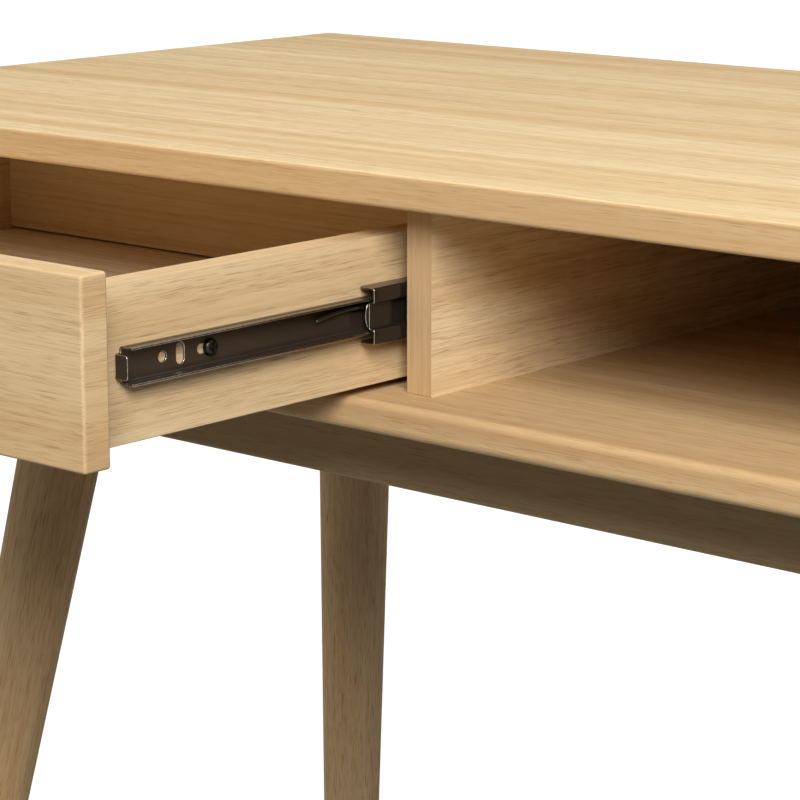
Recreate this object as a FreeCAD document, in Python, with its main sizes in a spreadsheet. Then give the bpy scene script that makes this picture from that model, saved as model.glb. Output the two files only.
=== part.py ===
import FreeCAD, Part
import os
import re

import Sketcher
from FreeCAD import Placement, Rotation, Vector

# Computer desk in oak veneer: a shallow case under the top holds one drawer on telescopic ball slides
# and, beside it, an open compartment. It stands on an apron frame with four turned legs that lean outwards.
# X runs along the width, Y from front to back and Z up, with the floor at zero. The drawer is drawn out.

# Driving dimensions, in millimetres, and the lean of the legs, in degrees
SIZES = {
    # Whole desk
    "desk_width": 1000,
    "desk_depth": 510,
    "desk_height": 750,
    # Boards of the case
    "top_thickness": 16,
    "top_arris": 2,
    "opening_height": 92,
    "shelf_thickness": 16,
    "shelf_arris": 4,
    "board_thickness": 15,
    "board_arris": 0.6,
    "case_setback": 24,
    "back_thickness": 12,
    "back_inset": 6,
    # Apron frame under the shelf
    "apron_height": 51,
    "apron_thickness": 18,
    "apron_arris": 3,
    "apron_front_inset": 80,
    "apron_side_inset": 90,
    # Legs: the insets are those of the leg's axis at the underside of the shelf
    "leg_side_inset": 149,
    "leg_front_inset": 138,
    "leg_lean": 12.13,
    "leg_top_diameter": 51,
    "leg_foot_diameter": 32,
    "leg_drop": 12,
    # Plates and studs that hold the legs, and the feet under them
    "plate_side": 62,
    "plate_thickness": 2.5,
    "plate_screw_inset": 8,
    "boss_diameter": 34,
    "stud_diameter": 8,
    "stud_in_leg": 40,
    "stud_headroom": 2,
    "glide_diameter": 27,
    "glide_height": 4,
    "glide_arris": 1.5,
    "glide_pin_diameter": 5,
    "glide_pin_length": 16,
    # Dowels, cam fittings and screws
    "dowel_diameter": 8,
    "dowel_length": 30,
    "dowel_in_board": 10,
    "dowel_setback": 45,
    "long_apron_dowel_setback": 60,
    "short_apron_dowel_setback": 120,
    "back_dowel_diameter": 6,
    "back_dowel_length": 24,
    "back_dowel_setback": 20,
    "fitting_setback": 85,
    "cam_diameter": 15,
    "cam_depth": 12,
    "cam_drop": 24,
    "cam_bolt_diameter": 6,
    "cam_bolt_in_top": 10,
    "shelf_screw_diameter": 5,
    "shelf_screw_length": 50,
    "shelf_screw_head_diameter": 10,
    "shelf_screw_head_height": 4,
    "screw_diameter": 3.5,
    "screw_length": 13,
    "screw_head_diameter": 8,
    "screw_head_height": 2.6,
    "hole_clearance": 0.1,
    "hole_relief": 0.5,
    # Drawer
    "drawer_out": 206,
    "closed_gap": 1,
    "front_gap": 4,
    "front_arris": 1.5,
    "drawer_board": 15,
    "drawer_side_height": 71,
    "drawer_length": 370,
    "bottom_thickness": 5,
    "bottom_rise": 5,
    "bottom_gap": 1.2,
    "groove_depth": 6,
    # Ball slides: distances across are counted from the drawer's side outwards
    "slide_gap": 12.7,
    "slide_length": 300,
    "slide_setback": 29,
    "slide_rise": 39.5,
    "slide_sheet": 1,
    "ball_gap": 4,
    "ball_clearance": 0.1,
    "middle_out": 52,
    "middle_inset": 3,
    "middle_height": 27,
    "middle_start": 0.8,
    "middle_reach": 10.6,
    "middle_lip": 7.5,
    "middle_recess": 3.1,
    "drawer_rail_depth": 8.2,
    "cabinet_rail_depth": 9,
    "tab_height": 11,
    "rail_hole_diameter": 4.8,
    "rail_hole_setback": 27.5,
    "rail_slot_height": 9.7,
    "rail_slot_setback": 38.4,
    "rail_screw_setback": 56.4,
    "cage_setback": 90,
    "cage_length": 120,
    "cage_width": 6,
    "cage_thickness": 0.8,
    # Release levers of the slides
    "lever_setback": 124,
    "lever_length": 46,
    "lever_width": 3,
    "lever_height": 2.4,
    "lever_crown": 4.2,
    "lever_tip_rise": 1.6,
    "lever_hub_diameter": 9,
    "lever_gap": 0.3,
    "rivet_diameter": 3,
    "rivet_head_diameter": 5,
    "rivet_head_height": 0.8,
}

# Places that follow from the sizes, in the same units
PLACES = {
    # Case
    "right_end": "desk_width / 2",
    "left_end": "-desk_width / 2",
    "front_edge": "(drawer_out + board_thickness - case_setback - desk_depth) / 2",
    "back_edge": "front_edge + desk_depth",
    "top_under": "desk_height - top_thickness",
    "shelf_top": "top_under - opening_height",
    "shelf_under": "shelf_top - shelf_thickness",
    "case_front": "front_edge + case_setback",
    "case_back": "back_edge - back_inset",
    "back_face": "case_back - back_thickness",
    "divider_left": "-board_thickness / 2",
    "bay_left": "left_end + board_thickness",
    "apron_under": "shelf_under - apron_height",
    "apron_front": "front_edge + apron_front_inset",
    "apron_back": "back_edge - apron_front_inset",
    "apron_left": "left_end + apron_side_inset",
    "apron_right": "right_end - apron_side_inset",
    "apron_length": "apron_right - apron_left",
    "apron_depth": "apron_back - apron_front",
    # Legs: each step along the leaning axis goes sideways and down by these shares
    "leg_step_share": "sin(leg_lean) / sqrt(2)",
    "leg_fall_share": "cos(leg_lean)",
    "leg_top_radius": "leg_top_diameter / 2",
    "leg_foot_radius": "leg_foot_diameter / 2",
    "leg_axis_end": "shelf_under / leg_fall_share",
    "leg_taper_share": "(leg_top_radius - leg_foot_radius) / (leg_axis_end - leg_drop)",
    "leg_reach": "leg_axis_end - leg_drop + leg_foot_radius",
    "leg_end_radius": "leg_foot_radius - leg_taper_share * leg_foot_radius",
    "foot_axis": "(shelf_under - glide_height) / leg_fall_share",
    "glide_radius": "glide_diameter / 2",
    "glide_inner_radius": "glide_radius - glide_arris",
    "glide_pin_radius": "glide_pin_diameter / 2",
    "glide_pin_top": "glide_height + glide_pin_length",
    # Drawer
    "drawer_left": "bay_left + slide_gap",
    "drawer_right": "divider_left - slide_gap",
    "drawer_face": "case_front - drawer_out",
    "drawer_rear": "drawer_face + drawer_length",
    "drawer_base": "shelf_top + front_gap",
    "drawer_rim": "drawer_base + drawer_side_height",
    "bottom_base": "drawer_base + bottom_rise",
    "bottom_top": "bottom_base + bottom_thickness",
    "back_base": "bottom_top + bottom_gap",
    # Slides, counted along from the front and up from their middle line
    "slide_line": "shelf_top + slide_rise",
    "drawer_rail_front": "drawer_face + slide_setback",
    "cabinet_rail_front": "case_front - closed_gap + slide_setback",
    "middle_front": "cabinet_rail_front + middle_inset - middle_out",
    "middle_half": "middle_height / 2",
    "middle_inner": "middle_half - slide_sheet",
    "lip_half": "middle_half - middle_lip",
    "step_half": "lip_half + slide_sheet",
    "lip_inside": "middle_reach - slide_sheet",
    "web_outside": "middle_reach - middle_recess",
    "web_inside": "web_outside - slide_sheet",
    "middle_length": "slide_length - middle_inset",
    "drawer_rail_half": "middle_inner - ball_gap",
    "drawer_rail_inner": "drawer_rail_half - slide_sheet",
    "cabinet_rail_inner": "middle_half + ball_gap",
    "cabinet_rail_half": "cabinet_rail_inner + slide_sheet",
    "cabinet_web": "slide_gap - slide_sheet",
    "cabinet_lip": "slide_gap - cabinet_rail_depth",
    "rail_rear_setback": "slide_length - rail_screw_setback",
    "ball_radius": "ball_gap / 2 - ball_clearance",
    "inner_ball_rise": "(drawer_rail_half + middle_inner) / 2",
    "outer_ball_rise": "(middle_half + cabinet_rail_inner) / 2",
    "inner_cage_line": "(middle_start + drawer_rail_depth) / 2",
    "outer_cage_line": "(cabinet_lip + middle_reach) / 2",
    "inner_cage_front": "middle_front + cage_setback - (drawer_out - closed_gap - middle_out) / 2",
    "outer_cage_front": "cabinet_rail_front + cage_setback - middle_out / 2",
    "lever_pivot": "lever_setback + lever_length",
    "lever_inside": "slide_sheet + lever_gap",
    "lever_outside": "lever_inside + lever_width",
}

# Counts, and shares of the lengths that they divide
BALLS_PER_ROW = 6
BALL_SHARES = [(ball + 0.5) / BALLS_PER_ROW for ball in range(BALLS_PER_ROW)]
LONG_APRON_SHARES = (0, 0.5, 1)
END_SHARES = (0, 1)
CORNER_DOWEL_SHARES = (0.28, 0.72)
DRAWER_DOWEL_SHARES = (0.36, 0.8)
LEVER_CROWN_SHARE = 0.42

DIRECTIONS = {
    "+X": Vector(1, 0, 0), "-X": Vector(-1, 0, 0),
    "+Y": Vector(0, 1, 0), "-Y": Vector(0, -1, 0),
    "+Z": Vector(0, 0, 1), "-Z": Vector(0, 0, -1),
}

# Each corner's leg: the signs of its place along X and Y
CORNERS = {"front_left": (-1, -1), "front_right": (1, -1), "back_left": (-1, 1), "back_right": (1, 1)}

# Each slide: the drawer's side that it stands on, its way outwards, and its turn about Y
SLIDES = {
    "left": {"wall": "drawer_left", "outwards": "-X", "inwards": "+X", "turn": 180},
    "right": {"wall": "drawer_right", "outwards": "+X", "inwards": "-X", "turn": 0},
}

doc = FreeCAD.newDocument("desk")
nodes = []
holes = {}


def fill_sheet(name, entries):
    """A spreadsheet with one named cell to a row."""
    sheet = doc.addObject("Spreadsheet::Sheet", name)
    for row, (alias, text) in enumerate(entries.items(), start=1):
        sheet.set(f"A{row}", alias)
        sheet.set(f"B{row}", text)
        sheet.setAlias(f"B{row}", alias)
    doc.recompute()
    return sheet


def formula(text, places_prefix="places."):
    """An expression in which each named size and place is looked up on its sheet."""
    def look_up(match):
        word = match.group()
        if word in SIZES:
            return f"sizes.{word}"
        if word in PLACES:
            return places_prefix + word
        return word
    return re.sub(r"[a-z_]+", look_up, text)


def value(name):
    """The number that a named size or place has now; a minus sign in front is kept."""
    if name.startswith("-"):
        return -value(name[1:])
    if name == "0":
        return 0.0
    return float(getattr(sizes if name in SIZES else places, name))


def bind(thing, **formulas):
    for name, text in formulas.items():
        thing.setExpression(name, formula(text))


def place(thing, spot):
    for axis, text in zip("xyz", spot):
        thing.setExpression(f"Placement.Base.{axis}", formula(text))


def along(spot, direction, amount):
    """The spot moved by an amount in a direction such as +X."""
    moved = list(spot)
    axis = "XYZ".index(direction[1])
    moved[axis] = f"{spot[axis]} {direction[0]} ({amount})"
    return tuple(moved)


def block(name, low, size):
    box = doc.addObject("Part::Box", name)
    bind(box, Length=size[0], Width=size[1], Height=size[2])
    place(box, low)
    return box


def rod(name, start, direction, diameter, length):
    bar = doc.addObject("Part::Cylinder", name)
    bar.Placement = Placement(Vector(), Rotation(Vector(0, 0, 1), DIRECTIONS[direction]))
    bind(bar, Radius=f"({diameter}) / 2", Height=length)
    place(bar, start)
    return bar


def joined(name, pieces):
    fuse = doc.addObject("Part::MultiFuse", name)
    fuse.Shapes = pieces
    return fuse


def cut(name, base, tools):
    piece = doc.addObject("Part::Cut", name)
    piece.Base = base
    piece.Tool = tools[0] if len(tools) == 1 else joined(f"{name}_tools", tools)
    return piece


def node(label, piece):
    """Marks a finished piece, whose label names its file."""
    piece.Label = label
    nodes.append(piece)
    return piece


def group(label, pieces):
    """Identical loose pieces under one name."""
    together = doc.addObject("Part::Compound", label)
    together.Links = pieces
    return node(label, together)


def outline(body, plane_role, corners):
    """A closed outline in a body's plane, with each corner's two distances bound to named values."""
    sketch = body.newObject("Sketcher::SketchObject", f"{body.Name}_outline")
    plane = next(item for item in body.Origin.OriginFeatures if item.Role == plane_role)
    sketch.AttachmentSupport = [(plane, "")]
    sketch.MapMode = "FlatFace"
    spots = [Vector(value(across), value(up), 0) for across, up in corners]
    count = len(spots)
    for corner in range(count):
        sketch.addGeometry(Part.LineSegment(spots[corner], spots[(corner + 1) % count]), False)
    for corner in range(count):
        sketch.addConstraint(Sketcher.Constraint("Coincident", corner, 2, (corner + 1) % count, 1))
    for corner, names in enumerate(corners):
        for kind, axis, name in zip(("DistanceX", "DistanceY"), (-2, -1), names):
            if name == "0":
                sketch.addConstraint(Sketcher.Constraint("PointOnObject", corner, 1, axis))
                continue
            ends = (corner, 1, -1, 1) if name.startswith("-") else (-1, 1, corner, 1)
            size = name.lstrip("-")
            entry = sketch.addConstraint(Sketcher.Constraint(kind, *ends, value(size)))
            sketch.setExpression(f"Constraints[{entry}]", formula(size))
    return sketch


def rounded(body, base, radius, chosen):
    """Rounds the edges of a body's feature that run where the chooser says."""
    doc.recompute()
    names = [f"Edge{number}" for number, edge in enumerate(base.Shape.Edges, start=1) if chosen(edge)]
    fillet = body.newObject("PartDesign::Fillet", f"{body.Name}_arris")
    fillet.Base = (base, names)
    bind(fillet, Radius=radius)
    return fillet


def board(name, low, size, radius, chosen):
    """A flat board with its chosen edges rounded, ready for its holes."""
    body = doc.addObject("PartDesign::Body", f"{name}_blank")
    width, depth, height = size
    sketch = body.newObject("Sketcher::SketchObject", f"{name}_outline")
    plane = next(item for item in body.Origin.OriginFeatures if item.Role == "XY_Plane")
    sketch.AttachmentSupport = [(plane, "")]
    sketch.MapMode = "FlatFace"
    spots = [Vector(0, 0, 0), Vector(1, 0, 0), Vector(1, 1, 0), Vector(0, 1, 0)]
    for corner in range(4):
        sketch.addGeometry(Part.LineSegment(spots[corner], spots[(corner + 1) % 4]), False)
    for corner in range(4):
        sketch.addConstraint(Sketcher.Constraint("Coincident", corner, 2, (corner + 1) % 4, 1))
        sketch.addConstraint(Sketcher.Constraint("Vertical" if corner % 2 else "Horizontal", corner))
    sketch.addConstraint(Sketcher.Constraint("Coincident", 0, 1, -1, 1))
    wide = sketch.addConstraint(Sketcher.Constraint("DistanceX", 0, 1, 0, 2, 1))
    deep = sketch.addConstraint(Sketcher.Constraint("DistanceY", 1, 1, 1, 2, 1))
    sketch.setExpression(f"Constraints[{wide}]", formula(width))
    sketch.setExpression(f"Constraints[{deep}]", formula(depth))
    pad = body.newObject("PartDesign::Pad", f"{name}_pad")
    pad.Profile = sketch
    bind(pad, Length=height)
    place(body, low)
    rounded(body, pad, radius, chosen)
    holes[name] = []
    return body


def every_edge(edge):
    return True


def front_edges(edge):
    """Edges along X at the front of a board."""
    box = edge.BoundBox
    return box.YMax < FreeCAD.Base.Precision.confusion() and box.XLength > box.ZLength


def lower_edges(edge):
    """Edges at the foot of a board."""
    return edge.BoundBox.ZMax < FreeCAD.Base.Precision.confusion()


def hole(boards, name, start, direction, diameter, length):
    """A hole, a little wider than what it takes, in each of the boards."""
    tool = rod(name, start, direction, f"{diameter} + 2 * hole_clearance", length)
    for board_name in boards:
        holes[board_name].append(tool)


def peg(name, start, direction, diameter, length, boards):
    """A dowel or bolt, with its hole in each of the boards that it joins."""
    bottom = along(start, direction, "-hole_relief")
    hole(boards, f"{name}_hole", bottom, direction, diameter, f"{length} + 2 * hole_relief")
    return rod(name, start, direction, diameter, length)


def screw(name, start, direction, boards):
    """A pan-head screw whose head lies on the start; its shank bores into the boards."""
    hole(boards, f"{name}_hole", start, direction, "screw_diameter", "screw_length + hole_relief")
    shank = rod(f"{name}_shank", start, direction, "screw_diameter", "screw_length")
    head_start = along(start, direction, "-screw_head_height")
    head = rod(f"{name}_head", head_start, direction, "screw_head_diameter", "screw_head_height")
    return joined(name, [head, shank])


sizes = fill_sheet("sizes", {name: str(size) for name, size in SIZES.items()})
places = fill_sheet("places", {name: "=" + formula(text, "") for name, text in PLACES.items()})

# Blanks of the case: top, shelf, uprights and back
blanks = {}


def blank(name, low, size, radius, chosen):
    blanks[name] = board(name, low, size, radius, chosen)


blank("top_panel", ("left_end", "front_edge", "top_under"),
      ("desk_width", "desk_depth", "top_thickness"), "top_arris", every_edge)
blank("shelf_panel", ("left_end", "front_edge", "shelf_under"),
      ("desk_width", "desk_depth", "shelf_thickness"), "shelf_arris", front_edges)
UPRIGHTS = {
    "left_side_panel": {"low": "left_end", "rear": "case_back", "cam_face": "bay_left", "cam_way": "-X"},
    "divider_panel": {"low": "divider_left", "rear": "back_face",
                      "cam_face": "divider_left", "cam_way": "+X"},
    "right_side_panel": {"low": "right_end - board_thickness", "rear": "case_back",
                         "cam_face": "right_end - board_thickness", "cam_way": "+X"},
}
for name, upright in UPRIGHTS.items():
    depth = f"{upright['rear']} - case_front"
    blank(name, (upright["low"], "case_front", "shelf_top"),
          ("board_thickness", depth, "opening_height"), "board_arris", front_edges)
blank("back_panel", ("bay_left", "back_face", "shelf_top"),
      ("desk_width - 2 * board_thickness", "back_thickness", "opening_height"), "board_arris", lower_edges)

# Joints of the case: dowels at both ends of each upright, cam fittings above, long screws below
panel_dowels = []
cam_locks = []
cam_bolts = []
shelf_screws = []
for name, upright in UPRIGHTS.items():
    middle = f"{upright['low']} + board_thickness / 2"
    for end, anchor in (("front", "case_front +"), ("rear", f"{upright['rear']} -")):
        dowel_line = f"{anchor} dowel_setback"
        fitting_line = f"{anchor} fitting_setback"
        above = (middle, dowel_line, "top_under + dowel_in_board")
        panel_dowels.append(peg(f"{name}_{end}_upper_dowel", above, "-Z", "dowel_diameter",
                                "dowel_length", ["top_panel", name]))
        below = (middle, dowel_line, "shelf_top - dowel_in_board")
        panel_dowels.append(peg(f"{name}_{end}_lower_dowel", below, "+Z", "dowel_diameter",
                                "dowel_length", ["shelf_panel", name]))
        cam_face = (upright["cam_face"], fitting_line, "top_under - cam_drop")
        cam = rod(f"{name}_{end}_cam", cam_face, upright["cam_way"], "cam_diameter", "cam_depth")
        hole([name], f"{name}_{end}_cam_pocket", cam_face, upright["cam_way"], "cam_diameter",
             "cam_depth + hole_relief")
        bolt_top = (middle, fitting_line, "top_under + cam_bolt_in_top")
        cam_bolts.append(peg(f"{name}_{end}_cam_bolt", bolt_top, "-Z", "cam_bolt_diameter",
                             "cam_bolt_in_top + cam_drop", ["top_panel", name]))
        cam_slot = rod(f"{name}_{end}_cam_slot", bolt_top, "-Z", "cam_bolt_diameter + 2 * hole_clearance",
                       "cam_bolt_in_top + cam_drop + hole_relief")
        cam_locks.append(cut(f"{name}_{end}_cam_lock", cam, [cam_slot]))
        screw_foot = (middle, fitting_line, "shelf_under")
        head = rod(f"{name}_{end}_screw_head", screw_foot, "+Z", "shelf_screw_head_diameter",
                   "shelf_screw_head_height")
        hole(["shelf_panel"], f"{name}_{end}_screw_seat", screw_foot, "+Z", "shelf_screw_head_diameter",
             "shelf_screw_head_height")
        shank = peg(f"{name}_{end}_screw_shank", screw_foot, "+Z", "shelf_screw_diameter",
                    "shelf_screw_length", ["shelf_panel", name])
        shelf_screws.append(joined(f"{name}_{end}_shelf_screw", [head, shank]))
group("panel_dowels", panel_dowels)
group("cam_locks", cam_locks)
group("cam_bolts", cam_bolts)
group("shelf_screws", shelf_screws)

back_dowels = []
for name, face, way in (("left_side_panel", "bay_left", "+X"),
                        ("right_side_panel", "right_end - board_thickness", "-X")):
    for share in END_SHARES:
        height = f"shelf_top + back_dowel_setback + {share} * (opening_height - 2 * back_dowel_setback)"
        start = along((face, "back_face + back_thickness / 2", height), way, "-dowel_in_board")
        back_dowels.append(peg(f"{name}_back_dowel_{share}", start, way, "back_dowel_diameter",
                               "back_dowel_length", ["back_panel", name]))
group("back_dowels", back_dowels)

# Apron frame: long rails in front and behind, short rails between them
blank("front_apron", ("apron_left", "apron_front", "apron_under"),
      ("apron_length", "apron_thickness", "apron_height"), "apron_arris", lower_edges)
blank("back_apron", ("apron_left", "apron_back - apron_thickness", "apron_under"),
      ("apron_length", "apron_thickness", "apron_height"), "apron_arris", lower_edges)
for name, low in (("left_apron", "apron_left"), ("right_apron", "apron_right - apron_thickness")):
    blank(name, (low, "apron_front + apron_thickness", "apron_under"),
          ("apron_thickness", "apron_depth - 2 * apron_thickness", "apron_height"),
          "apron_arris", lower_edges)

apron_dowels = []
corner_dowels = []
for name, line in (("front_apron", "apron_front + apron_thickness / 2"),
                   ("back_apron", "apron_back - apron_thickness / 2")):
    for share in LONG_APRON_SHARES:
        span = "(apron_length - 2 * long_apron_dowel_setback)"
        across = f"apron_left + long_apron_dowel_setback + {share} * {span}"
        apron_dowels.append(peg(f"{name}_dowel_{share}", (across, line, "shelf_under + dowel_in_board"), "-Z",
                                "dowel_diameter", "dowel_length", ["shelf_panel", name]))
for name, line in (("left_apron", "apron_left + apron_thickness / 2"),
                   ("right_apron", "apron_right - apron_thickness / 2")):
    for share in END_SHARES:
        span = "(apron_depth - 2 * short_apron_dowel_setback)"
        deep = f"apron_front + short_apron_dowel_setback + {share} * {span}"
        apron_dowels.append(peg(f"{name}_dowel_{share}", (line, deep, "shelf_under + dowel_in_board"), "-Z",
                                "dowel_diameter", "dowel_length", ["shelf_panel", name]))
    for share in CORNER_DOWEL_SHARES:
        height = f"apron_under + {share} * apron_height"
        for long_rail, start, way in (("front_apron", "apron_front + apron_thickness - dowel_in_board", "+Y"),
                                      ("back_apron", "apron_back - apron_thickness + dowel_in_board", "-Y")):
            corner_dowels.append(peg(f"{name}_{long_rail}_dowel_{share}", (line, start, height), way,
                                     "dowel_diameter", "dowel_length", [name, long_rail]))
group("apron_dowels", apron_dowels)
group("apron_corner_dowels", corner_dowels)


def leg_spot(corner, distance):
    """A point on a leg's axis, at a distance down it from the underside of the shelf."""
    side, end = CORNERS[corner]
    start = "front_edge + leg_front_inset" if end < 0 else "back_edge - leg_front_inset"
    return (f"{side} * (right_end - leg_side_inset + ({distance}) * leg_step_share)",
            f"{start} + {end} * ({distance}) * leg_step_share",
            f"shelf_under - ({distance}) * leg_fall_share")


def lean(thing, corner, distance):
    """Sets a piece with its own Z along a leg's axis."""
    side, end = CORNERS[corner]
    thing.Placement = Placement(Vector(), Rotation(Vector(end, -side, 0), value("leg_lean")))
    thing.setExpression("Placement.Rotation.Angle", formula("leg_lean"))
    place(thing, leg_spot(corner, distance))


def turned(name, profile):
    """A body of revolution about its own Z, from half of its section."""
    body = doc.addObject("PartDesign::Body", name)
    sketch = outline(body, "XZ_Plane", profile)
    turn = body.newObject("PartDesign::Revolution", f"{name}_turn")
    turn.Profile = sketch
    turn.ReferenceAxis = (sketch, ["V_Axis"])
    turn.Angle = 360
    return body


# Legs, each with its plate, stud, screws and foot
leg_plates = []
hanger_bolts = []
plate_screws = []
leg_glides = []
for corner in CORNERS:
    leg = turned(f"{corner}_turned_leg", [("0", "0"), ("leg_top_radius", "0"),
                                          ("leg_end_radius", "-leg_reach"), ("0", "-leg_reach")])
    lean(leg, corner, "leg_drop")
    stud = rod(f"{corner}_stud", ("0", "0", "0"), "+Z", "stud_diameter",
               "stud_in_leg + leg_drop - stud_headroom")
    lean(stud, corner, "leg_drop + stud_in_leg")
    bore = rod(f"{corner}_stud_bore", ("0", "0", "0"), "+Z", "stud_diameter + 2 * hole_clearance",
               "stud_in_leg + 2 * leg_drop")
    lean(bore, corner, "leg_drop + stud_in_leg + hole_relief")
    hanger_bolts.append(stud)

    foot = leg_spot(corner, "foot_axis")
    glide = turned(f"{corner}_glide", [
        ("0", "0"), ("glide_inner_radius", "0"), ("glide_radius", "glide_arris"),
        ("glide_radius", "glide_height"), ("glide_pin_radius", "glide_height"),
        ("glide_pin_radius", "glide_pin_top"), ("0", "glide_pin_top")])
    place(glide, (foot[0], foot[1], "0"))
    leg_glides.append(glide)
    pin_bore = rod(f"{corner}_pin_bore", (foot[0], foot[1], "0"), "+Z",
                   "glide_pin_diameter + 2 * hole_clearance", "glide_pin_top + hole_relief")
    below_foot = block(f"{corner}_below_foot",
                       (f"{foot[0]} - leg_top_diameter", f"{foot[1]} - leg_top_diameter",
                        "glide_height - leg_top_diameter"),
                       ("2 * leg_top_diameter", "2 * leg_top_diameter", "leg_top_diameter"))
    node(f"{corner}_leg", cut(f"{corner}_leg", leg, [below_foot, bore, pin_bore]))

    head = leg_spot(corner, "0")
    plate = block(f"{corner}_flat", (f"{head[0]} - plate_side / 2", f"{head[1]} - plate_side / 2",
                                     "shelf_under - plate_thickness"),
                  ("plate_side", "plate_side", "plate_thickness"))
    boss = rod(f"{corner}_boss", ("0", "0", "0"), "+Z", "boss_diameter", "2 * leg_drop")
    lean(boss, corner, "leg_drop")
    above_plate = block(f"{corner}_above_plate", (f"{head[0]} - plate_side", f"{head[1]} - plate_side",
                                                  "shelf_under"),
                        ("2 * plate_side", "2 * plate_side", "2 * leg_drop"))
    plate_name = f"{corner}_plate"
    holes[plate_name] = [above_plate, bore]
    for side in (-1, 1):
        for end in (-1, 1):
            seat = (f"{head[0]} + {side} * (plate_side / 2 - plate_screw_inset)",
                    f"{head[1]} + {end} * (plate_side / 2 - plate_screw_inset)",
                    "shelf_under - plate_thickness")
            label = f"{corner}_plate_screw_{side + 1}{end + 1}"
            plate_screws.append(screw(label, seat, "+Z", ["shelf_panel", plate_name]))
    leg_plates.append(cut(plate_name, joined(f"{corner}_plate_blank", [plate, boss]), holes[plate_name]))
group("leg_plates", leg_plates)
group("hanger_bolts", hanger_bolts)
group("plate_screws", plate_screws)
group("leg_glides", leg_glides)

# Drawer: a thick front with two sides and a back, and a thin bottom let into grooves
blank("drawer_front", ("left_end", "drawer_face - board_thickness", "drawer_base"),
      ("divider_left + board_thickness - left_end", "board_thickness", "opening_height - 2 * front_gap"),
      "front_arris", every_edge)
for name, low in (("left_drawer_side", "drawer_left"), ("right_drawer_side", "drawer_right - drawer_board")):
    blank(name, (low, "drawer_face", "drawer_base"),
          ("drawer_board", "drawer_length", "drawer_side_height"), "board_arris", lower_edges)
blank("drawer_back", ("drawer_left + drawer_board", "drawer_rear - drawer_board", "back_base"),
      ("drawer_right - drawer_left - 2 * drawer_board", "drawer_board", "drawer_rim - back_base"),
      "board_arris", lower_edges)
bottom_low = ("drawer_left + drawer_board - groove_depth + hole_relief",
              "drawer_face - groove_depth + hole_relief", "bottom_base")
bottom_size = ("drawer_right - drawer_left - 2 * (drawer_board - groove_depth + hole_relief)",
               "drawer_length + groove_depth - hole_relief", "bottom_thickness")
node("drawer_bottom", block("drawer_bottom", bottom_low, bottom_size))
groove_low = tuple(f"{low} - {play}" for low, play in
                   zip(bottom_low, ("hole_relief", "hole_relief", "hole_clearance")))
groove_size = (f"{bottom_size[0]} + 2 * hole_relief", f"{bottom_size[1]} + 2 * hole_relief",
               "bottom_thickness + 2 * hole_clearance")
groove = block("bottom_groove", groove_low, groove_size)
for name in ("drawer_front", "left_drawer_side", "right_drawer_side"):
    holes[name].append(groove)

front_dowels = []
rear_dowels = []
for side, slide in SLIDES.items():
    name = f"{side}_drawer_side"
    for share in DRAWER_DOWEL_SHARES:
        height = f"drawer_base + {share} * drawer_side_height"
        start = (slide["wall"], "drawer_face - dowel_in_board", height)
        start = along(start, slide["inwards"], "drawer_board / 2")
        front_dowels.append(peg(f"{name}_front_dowel_{share}", start, "+Y", "dowel_diameter",
                                "dowel_length", [name, "drawer_front"]))
        start = (slide["wall"], "drawer_rear - drawer_board / 2", height)
        start = along(start, slide["inwards"], "drawer_board - dowel_in_board")
        rear_dowels.append(peg(f"{name}_back_dowel_{share}", start, slide["inwards"], "dowel_diameter",
                               "dowel_length", [name, "drawer_back"]))
group("drawer_front_dowels", front_dowels)
group("drawer_back_dowels", rear_dowels)


def rail(name, profile, length):
    """A rolled steel member: its section, drawn out along Y."""
    body = doc.addObject("PartDesign::Body", name)
    sketch = outline(body, "XZ_Plane", profile)
    pad = body.newObject("PartDesign::Pad", f"{name}_pad")
    pad.Profile = sketch
    pad.Reversed = True
    bind(pad, Length=length)
    return body


def flipped(corners):
    """The same corners below the middle line, in the opposite order."""
    return [(across, f"-{up}") for across, up in reversed(corners)]


def set_slide(piece, slide, front):
    """Sets a slide's piece against the drawer's side, turned over on the left."""
    piece.Placement = Placement(Vector(), Rotation(Vector(0, 1, 0), slide["turn"]))
    place(piece, (slide["wall"], front, "slide_line"))
    return piece


# Upper halves of the members' sections; the middle member's has an outer and an inner line
DRAWER_UPPER = [("0", "drawer_rail_half"), ("drawer_rail_depth", "drawer_rail_half"),
                ("drawer_rail_depth", "drawer_rail_inner"), ("slide_sheet", "drawer_rail_inner")]
MIDDLE_OUTER = [("middle_start", "middle_half"), ("middle_reach", "middle_half"),
                ("middle_reach", "lip_half"), ("web_outside", "lip_half")]
MIDDLE_INNER = [("web_inside", "step_half"), ("lip_inside", "step_half"),
                ("lip_inside", "middle_inner"), ("middle_start", "middle_inner")]
CABINET_UPPER = [("slide_gap", "cabinet_rail_half"), ("cabinet_lip", "cabinet_rail_half"),
                 ("cabinet_lip", "cabinet_rail_inner"), ("cabinet_web", "cabinet_rail_inner")]
DRAWER_PROFILE = DRAWER_UPPER + flipped(DRAWER_UPPER)
MIDDLE_PROFILE = MIDDLE_OUTER + flipped(MIDDLE_OUTER) + flipped(MIDDLE_INNER) + MIDDLE_INNER
CABINET_PROFILE = CABINET_UPPER + flipped(CABINET_UPPER)


def rail_holes(name, start, length_setbacks):
    """Round screw holes through a member's web, in its own frame."""
    return [rod(f"{name}_hole_{number}", (start, setback, "0"), "+X", "rail_hole_diameter", "slide_sheet")
            for number, setback in enumerate(length_setbacks)]


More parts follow.
